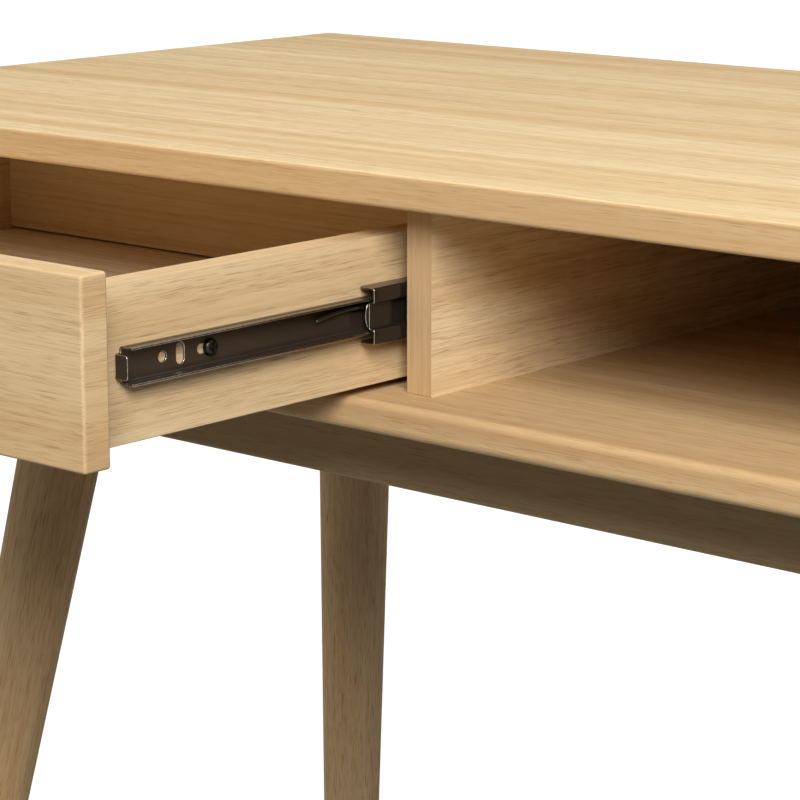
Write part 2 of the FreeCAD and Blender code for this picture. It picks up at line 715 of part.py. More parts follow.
drawer_slide_screws = []
cabinet_slide_screws = []
cages = {"inner": [], "outer": []}
balls = {"inner": [], "outer": []}
lever_rivets = []
for side, slide in SLIDES.items():
    # Drawer member: a channel with its web on the drawer and a tab bent out at its front end
    name = f"{side}_drawer_member"
    channel = rail(f"{name}_channel", DRAWER_PROFILE, "slide_length")
    tab = block(f"{name}_tab", ("0", "0", "-tab_height / 2"),
                ("drawer_rail_depth", "slide_sheet", "tab_height"))
    openings = rail_holes(name, "0", ["rail_hole_setback", "rail_slot_setback + slide_length / 2",
                                      "slide_length - rail_hole_setback", "lever_pivot"])
    openings.append(block(f"{name}_slot", ("0", "rail_slot_setback - rail_hole_diameter / 2",
                                           "-rail_slot_height / 2"),
                          ("slide_sheet", "rail_hole_diameter", "rail_slot_height")))
    openings += rail_holes(f"{name}_screw", "0", ["rail_screw_setback", "rail_rear_setback"])
    member = cut(name, joined(f"{name}_blank", [channel, tab]), openings)
    node(name, set_slide(member, slide, "drawer_rail_front"))

    # Middle member: arms over the drawer member, lips, and a web recessed between them
    name = f"{side}_middle_member"
    node(name, set_slide(rail(name, MIDDLE_PROFILE, "middle_length"), slide, "middle_front"))

    # Cabinet member: a channel with its web on the case
    name = f"{side}_cabinet_member"
    channel = rail(f"{name}_channel", CABINET_PROFILE, "slide_length")
    openings = rail_holes(name, "cabinet_web", ["rail_screw_setback", "rail_rear_setback",
                                                "rail_hole_setback", "slide_length / 2"])
    node(name, set_slide(cut(name, channel, openings), slide, "cabinet_rail_front"))

    # Screws of the two fixed members, whose heads lie on the webs
    upright = "left_side_panel" if side == "left" else "divider_panel"
    for setback in ("rail_screw_setback", "rail_rear_setback"):
        seat = (slide["wall"], f"drawer_rail_front + {setback}", "slide_line")
        seat = along(seat, slide["outwards"], "slide_sheet")
        drawer_slide_screws.append(screw(f"{side}_drawer_{setback}", seat, slide["inwards"],
                                         [f"{side}_drawer_side"]))
        seat = (slide["wall"], f"cabinet_rail_front + {setback}", "slide_line")
        seat = along(seat, slide["outwards"], "cabinet_web")
        cabinet_slide_screws.append(screw(f"{side}_cabinet_{setback}", seat, slide["outwards"], [upright]))

    # Ball cages: two strips in each gap between members, with a row of balls in each strip
    for stage in ("inner", "outer"):
        across = along((slide["wall"], "0", "0"), slide["outwards"], f"{stage}_cage_line")[0]
        for row in (-1, 1):
            rise = f"slide_line + {row} * {stage}_ball_rise"
            underside = f"{rise} - cage_thickness / 2"
            label = f"{side}_{stage}_strip_{row + 1}"
            strip = block(label, (f"{across} - cage_width / 2", f"{stage}_cage_front", underside),
                          ("cage_width", "cage_length", "cage_thickness"))
            pockets = []
            for number, share in enumerate(BALL_SHARES):
                deep = f"{stage}_cage_front + {share} * cage_length"
                pockets.append(rod(f"{label}_pocket_{number}", (across, deep, underside), "+Z",
                                   "2 * (ball_radius + ball_clearance)", "cage_thickness"))
                ball = doc.addObject("Part::Sphere", f"{label}_ball_{number}")
                bind(ball, Radius="ball_radius")
                place(ball, (across, deep, rise))
                balls[stage].append(ball)
            cages[stage].append(cut(f"{label}_pierced", strip, pockets))

    # Rivet that the release lever turns on
    pivot = (slide["wall"], "drawer_rail_front + lever_pivot", "slide_line")
    shank = rod(f"{side}_rivet_shank", pivot, slide["outwards"], "rivet_diameter",
                "lever_outside + lever_gap")
    rivet_top = along(pivot, slide["outwards"], "lever_outside + lever_gap")
    cap = rod(f"{side}_rivet_cap", rivet_top, slide["outwards"], "rivet_head_diameter", "rivet_head_height")
    collar = rod(f"{side}_rivet_collar", pivot, slide["outwards"],
                 "rail_hole_diameter - 2 * hole_clearance", "slide_sheet")
    lever_rivets.append(joined(f"{side}_rivet", [shank, cap, collar]))
group("drawer_slide_screws", drawer_slide_screws)
group("cabinet_slide_screws", cabinet_slide_screws)
for stage in ("inner", "outer"):
    group(f"{stage}_ball_cages", cages[stage])
    group(f"{stage}_balls", balls[stage])
group("lever_rivets", lever_rivets)


def lever_shape():
    """An arched lever in the slide's own frame: a hub at the pivot and a tail that curves down to its tip."""
    hub_centre = Vector(value("lever_inside"), value("lever_pivot"), 0)
    across = Vector(value("lever_width"), 0, 0)
    half = Vector(0, 0, value("lever_height") / 2)
    root = hub_centre + Vector(0, 0, value("lever_crown") / 2)
    tip = Vector(hub_centre.x, value("lever_setback"), value("lever_tip_rise"))
    crown = root + (tip - root) * LEVER_CROWN_SHARE
    crown.z = value("lever_crown")
    upper = Part.Arc(root + half, crown + half, tip + half).toShape()
    lower = Part.Arc(root - half, crown - half, tip - half).toShape()
    ends = [Part.makeLine(root - half, root + half), Part.makeLine(tip - half, tip + half)]
    tail = Part.Face(Part.Wire(Part.__sortEdges__([upper, lower] + ends))).extrude(across)
    hub = Part.makeCylinder(value("lever_hub_diameter") / 2, value("lever_width"), hub_centre, across)
    eye_radius = value("rivet_diameter") / 2 + value("hole_clearance")
    eye = Part.makeCylinder(eye_radius, value("lever_width"), hub_centre, across)
    return tail.fuse(hub).cut(eye).removeSplitter()


for side, slide in SLIDES.items():
    lever = doc.addObject("Part::Feature", f"{side}_release_lever")
    lever.Shape = lever_shape()
    node(f"{side}_release_lever", set_slide(lever, slide, "drawer_rail_front"))

# Boards with their holes and grooves
for name, body in blanks.items():
    node(name, cut(name, body, holes[name]))

doc.recompute()
for thing in doc.Objects:
    if "Invalid" in thing.State or "Error" in thing.State:
        raise RuntimeError(f"{thing.Label} could not be worked out: {thing.State}")

os.makedirs("parts", exist_ok=True)
for piece in nodes:
    if piece.Shape.isNull() or not piece.Shape.isValid():
        raise RuntimeError(f"{piece.Label} is not a sound solid")
for piece in nodes:
    piece.Shape.exportStep(f"parts/{piece.Label}.step")
    box = piece.Shape.BoundBox
    print(f"{piece.Label}: {len(piece.Shape.Solids)} solids, {piece.Shape.Volume:.1f} mm3, "
          f"x {box.XMin:.1f} to {box.XMax:.1f}, y {box.YMin:.1f} to {box.YMax:.1f}, "
          f"z {box.ZMin:.1f} to {box.ZMax:.1f}")
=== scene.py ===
# %% [markdown]
# # A desk with its drawer drawn out
#
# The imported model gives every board, leg, rail and fitting at its real size and place, in metres.
# This lesson dresses it: oak for the boards and legs, black rails with rolled bends and drilled webs,
# screws with cross recesses, and a soft studio around it.

# %% Load the model
import math

import bmesh
import bpy
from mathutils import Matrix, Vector


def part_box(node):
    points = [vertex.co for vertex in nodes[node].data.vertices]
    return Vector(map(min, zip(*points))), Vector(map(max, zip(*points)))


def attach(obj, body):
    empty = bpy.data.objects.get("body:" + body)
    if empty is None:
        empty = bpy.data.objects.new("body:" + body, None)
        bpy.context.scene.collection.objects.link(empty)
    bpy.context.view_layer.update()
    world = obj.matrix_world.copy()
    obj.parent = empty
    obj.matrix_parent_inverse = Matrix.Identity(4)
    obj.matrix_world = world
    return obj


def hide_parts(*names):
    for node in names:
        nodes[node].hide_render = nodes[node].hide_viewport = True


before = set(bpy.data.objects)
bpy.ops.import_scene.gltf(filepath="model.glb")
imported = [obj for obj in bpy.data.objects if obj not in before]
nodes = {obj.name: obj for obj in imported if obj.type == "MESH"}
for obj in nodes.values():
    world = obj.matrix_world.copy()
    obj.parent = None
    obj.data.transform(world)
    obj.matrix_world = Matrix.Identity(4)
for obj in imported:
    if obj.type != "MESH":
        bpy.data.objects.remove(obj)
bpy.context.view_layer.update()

MM = 0.001

# %% [markdown]
# ## Working by hand, in code
#
# An operator acts on whatever is selected and active, so each step first clears the selection and picks
# one object. Faces, edges and points are then picked by where they lie, as one would click on them.

# %% Helpers for selecting and shaping


def only(piece):
    """Makes a piece the only selected object, and the active one."""
    bpy.ops.object.select_all(action="DESELECT")
    piece.select_set(True)
    bpy.context.view_layer.objects.active = piece


def added(name):
    """Names the primitive that was just added and puts its place, turn and size into its mesh."""
    piece = bpy.context.object
    piece.name = name
    piece.data.name = name
    only(piece)
    bpy.ops.object.transform_apply(location=True, rotation=True, scale=True)
    return piece


def pick(piece, kind, test):
    """In edit mode, selects the points, edges or faces all of whose points pass the test."""
    bpy.ops.mesh.select_mode(type=kind)
    bpy.ops.mesh.select_all(action="DESELECT")
    mesh = bmesh.from_edit_mesh(piece.data)
    group = {"VERT": mesh.verts, "EDGE": mesh.edges, "FACE": mesh.faces}[kind]
    for item in group:
        if kind == "FACE":
            spots = [item.calc_center_median()]
        elif kind == "EDGE":
            spots = [point.co for point in item.verts]
        else:
            spots = [item.co]
        item.select_set(all(test(spot) for spot in spots))
    bmesh.update_edit_mesh(piece.data)


def fold(*steps):
    """Extrudes the selected edges by each step in turn, as sheet metal is folded on."""
    for step in steps:
        bpy.ops.mesh.extrude_edges_move(TRANSFORM_OT_translate={"value": step})


def modified(piece, kind, **settings):
    """Adds a modifier to a piece and applies it."""
    only(piece)
    modifier = piece.modifiers.new(kind.title(), kind)
    for name, value in settings.items():
        setattr(modifier, name, value)
    bpy.ops.object.modifier_apply(modifier=modifier.name)


def cut_away(piece, tool):
    """Cuts one piece by another and throws the tool away."""
    modified(piece, "BOOLEAN", operation="DIFFERENCE", object=tool, solver="EXACT")
    bpy.data.objects.remove(tool)


def joined(name, pieces):
    """Several loose pieces as one object."""
    only(pieces[0])
    for piece in pieces:
        piece.select_set(True)
    bpy.ops.object.join()
    return added(name)


def near(value, target, slack=0.05 * MM):
    return abs(value - target) < slack


def solids(name):
    """The lowest and highest corner of each separate solid in a CAD node."""
    mesh = bmesh.new()
    mesh.from_mesh(nodes[name].data)
    bmesh.ops.remove_doubles(mesh, verts=mesh.verts, dist=0.01 * MM)
    waiting = set(mesh.verts)
    boxes = []
    while waiting:
        stack = [waiting.pop()]
        low = stack[0].co.copy()
        high = stack[0].co.copy()
        while stack:
            point = stack.pop()
            low = Vector(map(min, low, point.co))
            high = Vector(map(max, high, point.co))
            for edge in point.link_edges:
                other = edge.other_vert(point)
                if other in waiting:
                    waiting.remove(other)
                    stack.append(other)
        boxes.append((low, high))
    mesh.free()
    return sorted(boxes, key=lambda box: tuple(box[0]))


print("screws on the drawer's rails", len(solids("drawer_slide_screws")))

# %% [markdown]
# ## Colours and nodes
#
# Colours are written as they look on a screen, in sRGB hex, and one function turns them to the linear
# values that a shader needs. One small function adds a node with its settings and links.

# %% Helpers for materials


def linear(colour):
    """An sRGB hex colour as linear red, green, blue and alpha."""
    channels = [int(colour[start:start + 2], 16) / 255 for start in (1, 3, 5)]
    bent = [c / 12.92 if c <= 0.04045 else ((c + 0.055) / 1.055) ** 2.4 for c in channels]
    return (*bent, 1.0)


def add(tree, kind, settings=None, links=None):
    """A node with its settings, by name or by socket number, and what feeds its sockets."""
    node = tree.nodes.new(kind)
    for key, value in (settings or {}).items():
        if isinstance(key, int) or key in node.inputs:
            node.inputs[key].default_value = value
        else:
            setattr(node, key, value)
    for key, output in (links or {}).items():
        tree.links.new(output, node.inputs[key])
    return node


def blank_material(name, **settings):
    """A material with only its shader, which has these constants set on its own sockets."""
    material = bpy.data.materials.new(name)
    material.use_nodes = True
    tree = material.node_tree
    shader = tree.nodes["Principled BSDF"]
    for key, value in settings.items():
        shader.inputs[key.replace("_", " ")].default_value = value
    return material, tree, shader


def dress(material, *names):
    """Gives CAD nodes their finish."""
    for name in names:
        for slot in nodes[name].material_slots:
            slot.material = material


# %% [markdown]
# ## Oak veneer under satin lacquer
#
# Oak is ring-porous: broad pale and darker bands run along the board, fine fibres streak them, and the
# open vessels show as short dark dashes. A veneered board has one grain direction on its faces and a strip
# of edging on its ends, so the pattern is drawn along one axis and, on faces square to it, along another.
# The strips on the edges took the lacquer a little warmer, and the rounded arrises are painted paler: a
# painted highlight where they catch the light.

# %% Oak: sizes and colours
BAND_MM = (900, 22)
SWAY_MM = (380, 60)
SWAY_BY_MM = 5
STREAK_MM = (220, 2.2)
PORE_MM = (17, 0.34)    # real vessels are about 0.3 mm wide: drawn as coarse as they need to show
CLUSTER_MM = (160, 6)
# The levels of each noise between which it comes in
BAND_LEVELS = (0.32, 0.68)
STREAK_LEVELS = (0.44, 0.7)
CLUSTER_LEVELS = (0.15, 0.6)
PORE_LEVELS = (0.55, 0.65)
STREAK_SHARE = 0.42
PORE_SHARE = 0.58
STREAK_DETAIL = 3.5
PORE_DETAIL = 1
OAK_PALE = "#DBC298"
OAK_WARM = "#CAA87B"
OAK_STREAK = "#B18C5E"
OAK_PORE = "#946C42"
OAK_EDGING = "#AE8456"
EDGING_SHARE = 0.3
# Painted highlight on the rounded arrises: its colour, its share, and the squareness levels over which it
# comes in
OAK_ARRIS_HIGHLIGHT = "#E4CFA9"
ARRIS_HIGHLIGHT_SHARE = 0.06
ARRIS_HIGHLIGHT_LEVELS = (0.98, 0.8)
SQUARE_LEVEL = 0.7
LACQUER_GLOSS = 0.035
LACQUER_ROUGH = 0.6
PORE_ROUGH = 0.25
PORE_DEPTH = 0.15 * MM
RELIEF_SHARE = 0.2
PATTERN_SHIFT = Vector((137, 61, 29))
AXES = {"X": Vector((1, 0, 0)), "Y": Vector((0, 1, 0)), "Z": Vector((0, 0, 1))}
print("oak bands", BAND_MM, "mm, vessels", PORE_MM, "mm")

# %% Oak: noises and masks


def turned_to_x(direction):
    return direction.rotation_difference(AXES["X"]).to_euler()


def stretched(tree, vector, length_and_width, seed, detail=2.5):
    """A noise whose blotches are this long along the grain and this wide across it."""
    length, width = length_and_width
    shrink = (1 / length, 1 / width, 1 / width)
    scaled = add(tree, "ShaderNodeVectorMath", {"operation": "MULTIPLY", 1: shrink}, {0: vector})
    settings = {"noise_dimensions": "4D", "W": seed, "Scale": 1, "Detail": detail}
    return add(tree, "ShaderNodeTexNoise", settings, {"Vector": scaled.outputs[0]})


def between(tree, value, low, high, top=1.0):
    """A value spread from 0 to the top as it goes from low to high."""
    settings = {"From Min": low, "From Max": high, "To Max": top}
    return add(tree, "ShaderNodeMapRange", settings, {"Value": value}).outputs[0]


def blended(tree, share, first, second):
    """A colour mixed from two; either is a hex colour or a socket."""
    settings = {"data_type": "RGBA"}
    links = {0: share}
    for key, colour in ((6, first), (7, second)):
        if isinstance(colour, str):
            settings[key] = linear(colour)
        else:
            links[key] = colour
    return add(tree, "ShaderNodeMix", settings, links).outputs[2]


def lies_along(tree, normal, direction):
    """1 on the faces that are square to a direction, and 0 elsewhere."""
    facing = add(tree, "ShaderNodeVectorMath", {"operation": "DOT_PRODUCT", 1: direction}, {0: normal})
    size = add(tree, "ShaderNodeMath", {"operation": "ABSOLUTE"}, {0: facing.outputs["Value"]})
    square = {"operation": "GREATER_THAN", 1: SQUARE_LEVEL}
    return add(tree, "ShaderNodeMath", square, {0: size.outputs[0]}).outputs[0]


def squareness(tree, normal):
    """1 on the faces that are square to an axis, and less on the rounded arrises between them."""
    size = add(tree, "ShaderNodeVectorMath", {"operation": "ABSOLUTE"}, {0: normal})
    parts = add(tree, "ShaderNodeSeparateXYZ", None, {0: size.outputs[0]})
    most = parts.outputs[0]
    for other in parts.outputs[1:]:
        most = add(tree, "ShaderNodeMath", {"operation": "MAXIMUM"}, {0: most, 1: other}).outputs[0]
    return most


# %% Oak: the finish


def oak(name, along, ends, flat, seed, pale=OAK_PALE, warm=OAK_WARM, edging=EDGING_SHARE,
        gloss=LACQUER_GLOSS, pore=PORE_SHARE):
    """Lacquered oak: dull and warm to the eye, with fine dark dashes along its grain.

    The grain runs along one direction, and along another on the ends that are square to it.
    The faces that are not square to the flat direction are edges, with a warmer strip on them.
    """
    material, tree, shader = blank_material(name, Specular_IOR_Level=gloss)
    spot = add(tree, "ShaderNodeTexCoord")
    place = {"Vector": spot.outputs["Object"]}
    normal = spot.outputs["Normal"]
    settings = {"Scale": (1 / MM, 1 / MM, 1 / MM), "Location": seed * PATTERN_SHIFT}
    face = add(tree, "ShaderNodeMapping", {**settings, "Rotation": turned_to_x(along)}, place)
    butt = add(tree, "ShaderNodeMapping", {**settings, "Rotation": turned_to_x(ends)}, place)
    grain = add(tree, "ShaderNodeMix", {"data_type": "VECTOR"},
                {0: lies_along(tree, normal, along), 4: face.outputs[0], 5: butt.outputs[0]}).outputs[1]
    sway = stretched(tree, grain, SWAY_MM, seed)
    aside = {"operation": "MULTIPLY_ADD", 1: (0, SWAY_BY_MM, SWAY_BY_MM)}
    wavy = add(tree, "ShaderNodeVectorMath", aside, {0: sway.outputs["Color"], 2: grain}).outputs[0]
    bands = between(tree, stretched(tree, wavy, BAND_MM, seed).outputs[0], *BAND_LEVELS)
    fibres = stretched(tree, wavy, STREAK_MM, seed + 3, STREAK_DETAIL).outputs[0]
    streaks = between(tree, fibres, *STREAK_LEVELS, STREAK_SHARE)
    cluster = between(tree, stretched(tree, wavy, CLUSTER_MM, seed + 5).outputs[0], *CLUSTER_LEVELS)
    dashes = stretched(tree, wavy, PORE_MM, seed + 7, PORE_DETAIL).outputs[0]
    vessels = between(tree, dashes, *PORE_LEVELS, pore)
    pores = add(tree, "ShaderNodeMath", {"operation": "MULTIPLY"}, {0: cluster, 1: vessels}).outputs[0]
    colour = blended(tree, bands, warm, pale)
    colour = blended(tree, streaks, colour, OAK_STREAK)
    colour = blended(tree, pores, colour, OAK_PORE)
    strips = add(tree, "ShaderNodeMapRange", {"To Min": edging, "To Max": 0.0},
                 {"Value": lies_along(tree, normal, flat)})
    colour = blended(tree, strips.outputs[0], colour, OAK_EDGING)
    # Painted highlight: the rounded arrises are mixed towards a paler colour, for the light they catch
    arris_highlight = between(tree, squareness(tree, normal), *ARRIS_HIGHLIGHT_LEVELS, ARRIS_HIGHLIGHT_SHARE)
    colour = blended(tree, arris_highlight, colour, OAK_ARRIS_HIGHLIGHT)
    tree.links.new(colour, shader.inputs["Base Color"])
    dents = {"Strength": RELIEF_SHARE, "Distance": PORE_DEPTH, "invert": True}
    relief = add(tree, "ShaderNodeBump", dents, {"Height": pores})
    tree.links.new(relief.outputs[0], shader.inputs["Normal"])
    satin = {"operation": "MULTIPLY_ADD", 1: PORE_ROUGH, 2: LACQUER_ROUGH}
    rough = add(tree, "ShaderNodeMath", satin, {0: pores})
    tree.links.new(rough.outputs[0], shader.inputs["Roughness"])
    return material


# %% Oak on the boards and legs
# Each board: its grain, the grain of the strips on its ends, and the direction it is thin in
BOARDS = {
    "top_panel": "XYZ", "shelf_panel": "XYZ", "drawer_bottom": "XYZ",
    "back_panel": "XZY", "drawer_front": "XYY", "drawer_back": "XZY",
    "front_apron": "XZY", "back_apron": "XZY",
    "left_side_panel": "YZX", "right_side_panel": "YZX", "divider_panel": "YZX",
    "left_drawer_side": "YZX", "right_drawer_side": "YZX", "left_apron": "YZX", "right_apron": "YZX",
}
# Each board's oak is shifted to paint in the light and shade it shows: paler on the divider, the drawer's
# right side and the drawer's back and bottom, darker on the shelf and the front apron, paler and bluer on
# the top as a painted sheen, and the warm edging strips set heavier or lighter per board the same way
BOARD_LIGHT_TONES = {
    "top_panel": {"pale": "#E3CDA2", "warm": "#D2B182", "edging": 0.48},
    "shelf_panel": {"pale": "#D4BA8F", "warm": "#C4A174", "edging": 0.12},
    "divider_panel": {"pale": "#EED9B1", "warm": "#DFC095", "edging": 0.6},
    "right_drawer_side": {"pale": "#E2CAA0", "warm": "#D2B184"},
    "drawer_front": {"edging": 0.12},
    "front_apron": {"pale": "#BAA582", "warm": "#AC906A"},
    "drawer_bottom": {"pale": "#F2E0BE", "warm": "#E6CDA6"},
    "drawer_back": {"pale": "#E6D0AC", "warm": "#D6B68C", "pore": 0.3},
}
# Turning cuts across the fibres, so a leg's vessels stand out more and it shines less
LEG_FINISH = {"pale": "#E1C9A0", "warm": "#D0AF83", "gloss": 0.03, "pore": 0.95}
LEG_LEAN = math.radians(12)
LEG_SEED = 30
for number, (name, ways) in enumerate(BOARDS.items()):
    along, ends, thin = (AXES[axis] for axis in ways)
    dress(oak(f"oak_veneer_{name}", along, ends, thin, number + 1, **BOARD_LIGHT_TONES.get(name, {})), name)
for number, name in enumerate(["front_left_leg", "front_right_leg", "back_left_leg", "back_right_leg"]):
    low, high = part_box(name)
    side = 1 if (low + high).x > 0 else -1
    end = -1 if name.startswith("front") else 1
    lean = Vector((side, end, 0)) * math.tan(LEG_LEAN) / math.sqrt(2) - AXES["Z"]
    dress(oak(f"turned_oak_{name}", lean.normalized(), AXES["Y"], Vector(), LEG_SEED + number,
              **LEG_FINISH), name)
print("oak materials", len([m for m in bpy.data.materials if "oak" in m.name]))

# %% [markdown]
# ## Metals and plastics
#
# The rails are rolled steel under a thin black electrocoat: smooth, dark and glossy. Along broken edges the
# coat is burnished through, and the bright steel draws thin lines of light. Fittings are zinc-plated, with
# a crystalline mottle, and plastic parts carry the fine texture of their mould. All of these are one kind
# of finish with patches of a real size, so one function makes them.

# %% Metals and plastics


def mottled(name, pale, dark, grain_mm, low_rough, high_rough, bump_mm=0.0, **settings):
    """A finish whose colour and gloss vary in patches of one size, with a relief as deep as given."""
    material, tree, shader = blank_material(name, **settings)
    spot = add(tree, "ShaderNodeTexCoord")
    noise = add(tree, "ShaderNodeTexNoise", {"Scale": 1 / (grain_mm * MM), "Detail": 3},
                {"Vector": spot.outputs["Object"]})
    patches = between(tree, noise.outputs[0], 0.35, 0.65)
    tree.links.new(blended(tree, patches, dark, pale), shader.inputs["Base Color"])
    ends = {"To Min": low_rough, "To Max": high_rough}
    rough = add(tree, "ShaderNodeMapRange", ends, {"Value": patches})
    tree.links.new(rough.outputs[0], shader.inputs["Roughness"])
    if bump_mm:
        depth = {"Strength": 0.5, "Distance": bump_mm * MM}
        relief = add(tree, "ShaderNodeBump", depth, {"Height": patches})
        tree.links.new(relief.outputs[0], shader.inputs["Normal"])
    return material


# A dipped coat: dark, even and smooth enough to mirror the lamps softly
rail_black = mottled("black_electrocoat", "#352C25", "#312821", 30, 0.18, 0.21, Specular_IOR_Level=0.4)
# The same coat on the middle and case rails, painted darker for the shade deeper in the slide
rail_black_painted_shade = mottled("black_electrocoat_inner", "#221C18", "#1E1915", 30, 0.16, 0.2,
                      Specular_IOR_Level=0.32)
# Steel where the coat is rubbed off: bright, thin glints
bare_edge = mottled("burnished_steel_edge", "#B4AEA6", "#8A837B", 2, 0.1, 0.17, Metallic=1.0)
# Black zinc on screws: nearly black, with a small sharp highlight
screw_black = mottled("black_zinc", "#0E0D0C", "#080807", 1.5, 0.22, 0.34, Specular_IOR_Level=0.35)
# Polished moulded plastic: black, with a clear shine on its curves
lever_black = mottled("moulded_black", "#2A231D", "#261F19", 6, 0.13, 0.19, Specular_IOR_Level=0.6)
# Moulded plastic with a fine texture: dull black
cage_black = mottled("cage_plastic", "#171615", "#0E0D0D", 0.6, 0.4, 0.55, 0.03)
# Powder coat: dull black with the bumps of its melted grains
plate_black = mottled("black_powder_coat", "#1C1B1A", "#121110", 0.7, 0.45, 0.6, 0.08)
# Moulded plastic under the feet: dull dark brown
glide_brown = mottled("moulded_brown", "#40332A", "#33281F", 0.9, 0.45, 0.6, 0.03)
# Zinc plate: pale bluish metal with crystals that catch the light in turn
zinc = mottled("zinc_plate", "#C9CBCC", "#A9ACAE", 1.2, 0.28, 0.42, Metallic=1.0)
# Polished bearing steel: a clear mirror
bearing = mottled("bearing_steel", "#D6D7D8", "#C4C5C6", 0.5, 0.08, 0.14, Metallic=1.0)
# Raw beech: pale, dull and finely flecked
beech = mottled("raw_beech", "#D9B98C", "#C79E6C", 2.5, 0.55, 0.7, 0.05)

# %% Metals and plastics on the fittings
dress(rail_black, "left_cabinet_member", "right_cabinet_member", "left_middle_member",
      "right_middle_member", "left_drawer_member", "right_drawer_member")
dress(screw_black, "cabinet_slide_screws", "drawer_slide_screws", "lever_rivets")
dress(lever_black, "left_release_lever", "right_release_lever")
dress(cage_black, "outer_ball_cages", "inner_ball_cages")
dress(plate_black, "leg_plates")
dress(glide_brown, "leg_glides")
dress(zinc, "cam_locks", "cam_bolts", "shelf_screws", "plate_screws", "hanger_bolts")
dress(bearing, "outer_balls", "inner_balls")
dress(beech, "panel_dowels", "back_dowels", "apron_dowels", "apron_corner_dowels", "drawer_front_dowels",
      "drawer_back_dowels")
print("materials", len(bpy.data.materials))

# %% [markdown]
# ## Rails of the ball slides
#
# Each slide has three rails of folded sheet steel that run one in the other. A rail starts as a flat
# strip: its long edges are extruded as a press brake would fold them, the bends are rounded, the strip gets
# its thickness, and holes and slots are cut through it. A cut block would do too, but folding keeps the
# sheet equally thick. The right slide is modelled with the drawer's wall at x = 0 and its own line at
# z = 0. Then it is put in place, and a copy turned over is put on the left wall.

# %% Folding, drilling and seating a strip of steel
SHEET = 1.0 * MM
RAIL_EDGE = 0.28 * MM
SHARP = math.radians(40)
BEND = math.radians(45)
FACING_X = (0, math.radians(90), 0)
RIGHT_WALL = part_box("right_drawer_member")[0].x
LEFT_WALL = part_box("left_drawer_member")[1].x
SLIDE_LINE = (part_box("right_drawer_member")[0].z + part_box("right_drawer_member")[1].z) / 2


def section(node):
    """Where a rail on the right starts and ends from the wall, half its height, and its length."""
    low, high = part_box(node)
    return low.x - RIGHT_WALL, high.x - RIGHT_WALL, (high.z - low.z) / 2, high.y - low.y


def strip(name, web, half, length, folds):
    """A flat strip on edge whose long edges are folded on by steps outwards and away from its middle."""
    bpy.ops.object.select_all(action="DESELECT")
    bpy.ops.mesh.primitive_plane_add(size=1, location=(web, length / 2, 0), rotation=FACING_X)
    bpy.context.object.scale = (2 * half, length, 1)
    rail = added(name)
    bpy.ops.object.mode_set(mode="EDIT")
    for side in (1, -1):
        pick(rail, "EDGE", lambda spot: near(spot.z, side * half))
        fold(*[(out, 0, side * away) for out, away in folds])
    return rail


def round_corners(rail, test, radius):
    """Rounds the free corners of a strip that pass the test."""
    pick(rail, "VERT", test)
    bpy.ops.mesh.bevel(offset=radius, segments=5, affect="VERTICES")


def round_bends(rail, radius):
    """Rounds every edge where two faces of a strip meet at a steep angle."""
    bpy.ops.mesh.select_mode(type="EDGE")
    bpy.ops.mesh.select_all(action="DESELECT")
    mesh = bmesh.from_edit_mesh(rail.data)
    for edge in mesh.edges:
        edge.select_set(edge.is_manifold and edge.calc_face_angle() > BEND)
    bmesh.update_edit_mesh(rail.data)
    bpy.ops.mesh.bevel(offset=radius, segments=4, affect="EDGES")


def thickened(rail):
    """Gives a strip the thickness of the sheet."""
    bpy.ops.object.mode_set(mode="OBJECT")
    modified(rail, "SOLIDIFY", thickness=SHEET, offset=0, use_even_offset=True)


def drilled(rail, web, along, wide, tall):
    """Cuts a round hole, or a slot, through the web at this distance from the rail's front."""
    small = min(wide, tall)
    bpy.ops.object.select_all(action="DESELECT")
    bpy.ops.mesh.primitive_cylinder_add(vertices=40, radius=small / 2, depth=5 * SHEET,
                                        location=(web, along, 0), rotation=FACING_X)
    drill = added("drill")
    bpy.ops.object.mode_set(mode="EDIT")
    for side in (1, -1):
        pick(drill, "VERT",
             lambda spot: side * (spot.y - along if wide > tall else spot.z) > SHEET / 100)
        bpy.ops.transform.translate(value=(0, side * (wide - small) / 2, side * (tall - small) / 2))
    bpy.ops.object.mode_set(mode="OBJECT")
    cut_away(rail, drill)


def eased(piece, width, *finishes):
    """Breaks the sharp edges, points the faces outwards and smooths the shading of what is round.

    The first finish is for the piece, and a second one for the broken edges.
    """
    for finish in finishes:
        piece.data.materials.append(finish)
    modified(piece, "BEVEL", width=width, segments=3, limit_method="ANGLE", angle_limit=SHARP,
             use_clamp_overlap=False, material=len(finishes) - 1)
    bpy.ops.object.mode_set(mode="EDIT")
    bpy.ops.mesh.select_all(action="SELECT")
    bpy.ops.mesh.normals_make_consistent(inside=False)
    bpy.ops.object.mode_set(mode="OBJECT")
    only(piece)
    bpy.ops.object.shade_smooth_by_angle(angle=SHARP)
    modified(piece, "WEIGHTED_NORMAL", keep_sharp=True, weight=100)


def seated(piece, front, bodies, slot, *replaced):
    """Puts a piece of the right slide in place, and its copy, turned over, on the left wall."""
    only(piece)
    bpy.ops.object.duplicate()
    twin = bpy.context.object
    twin.name = piece.name.replace("right", "left")
    for number, (part, wall, turn) in enumerate(((piece, RIGHT_WALL, 0), (twin, LEFT_WALL, math.pi))):
        part.rotation_euler = (0, turn, 0)
        part.location = (wall, front, SLIDE_LINE)
        only(part)
        bpy.ops.object.transform_apply(location=True, rotation=True, scale=True)
        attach(part, bodies[number])
        if replaced:
            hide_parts(replaced[number])
    print(piece.name, "and", twin.name, len(piece.data.polygons), "faces")


print("drawer's walls at", round(LEFT_WALL / MM, 1), "and", round(RIGHT_WALL / MM, 1), "mm")

# %% [markdown]
# ## The drawer's rails
#
# The rail on the drawer shows most: its web has a round hole, an upright slot and a slot under the screw,
# its flanges are rolled in a little where the balls run, and its front end is bent out as a tab between
# two notches. The rolled groove is folded in small steps before the strip gets its thickness.

